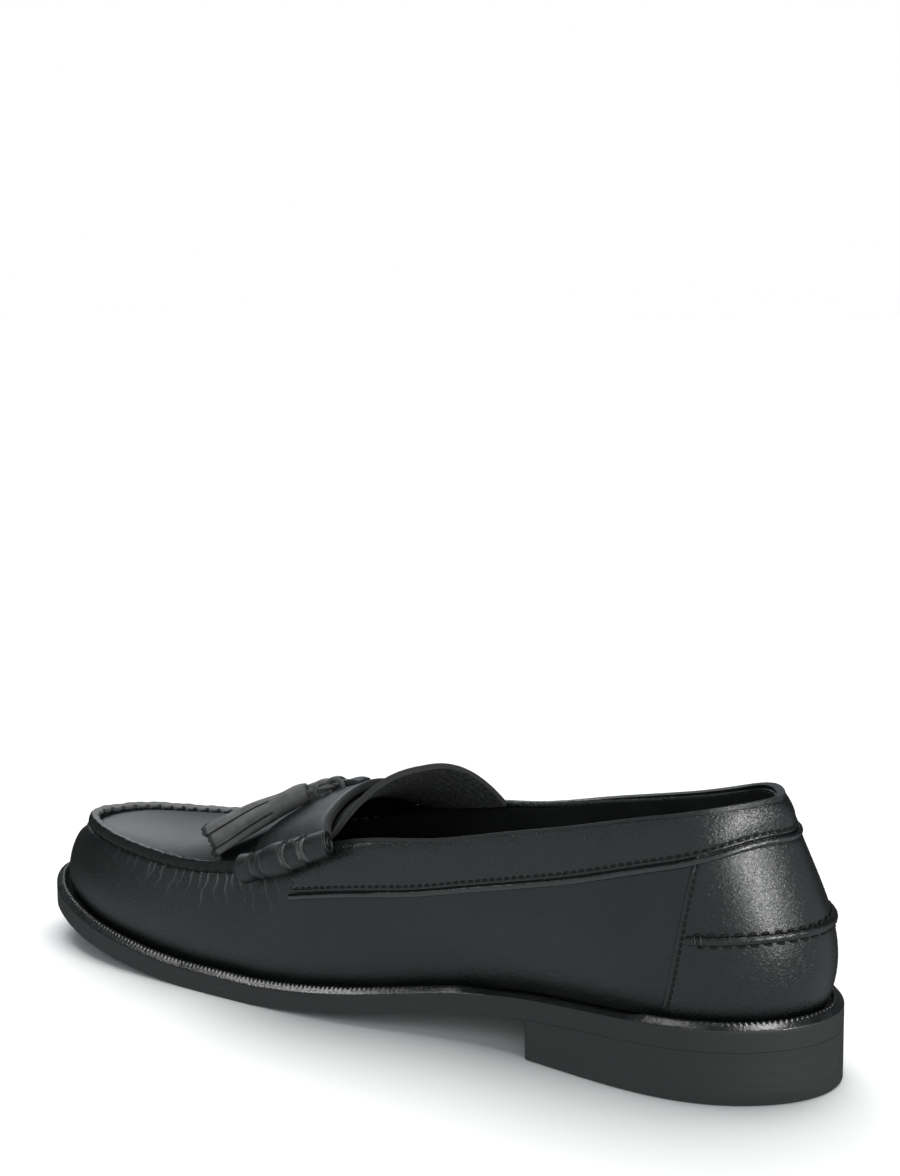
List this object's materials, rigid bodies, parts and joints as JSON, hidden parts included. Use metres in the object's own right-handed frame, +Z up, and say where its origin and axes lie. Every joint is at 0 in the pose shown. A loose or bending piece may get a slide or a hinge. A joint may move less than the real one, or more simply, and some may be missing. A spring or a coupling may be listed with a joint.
{
  "type": "tassel loafer",
  "caption": "Black leather slip-on shoe with a raised apron seam, a strap over the instep with rolled ends, tassels and a low block heel; it is worn on the right foot.",
  "frame": {"origin": "on the floor, under the middle of the shoe's box", "axes": "+X towards the toe, +Y towards the inner side of the foot, +Z up from the floor"},
  "size_m": [0.3008, 0.0976, 0.0846],
  "materials": {
    "upper_leather": "smooth calf leather, semi-gloss",
    "tassel_leather": "smooth leather cut in strips, satin",
    "lining": "matte lining leather",
    "welt": "waxed and wheeled, glossy",
    "sole_edge": "inked edge, satin"
  },
  "bodies": {
    "root": {"outsole": "sole_edge", "welt": "welt", "heel": "sole_edge", "insole": "lining", "upper": "upper_leather", "tongue": "upper_leather", "saddle_strap": "upper_leather", "beefroll_inner": "upper_leather", "beefroll_outer": "upper_leather", "heel_roll": "upper_leather", "tassel_inner": "tassel_leather", "tassel_outer": "tassel_leather", "tassel_thong": "tassel_leather", "thong_band": "tassel_leather"}
  },
  "joints": []
}
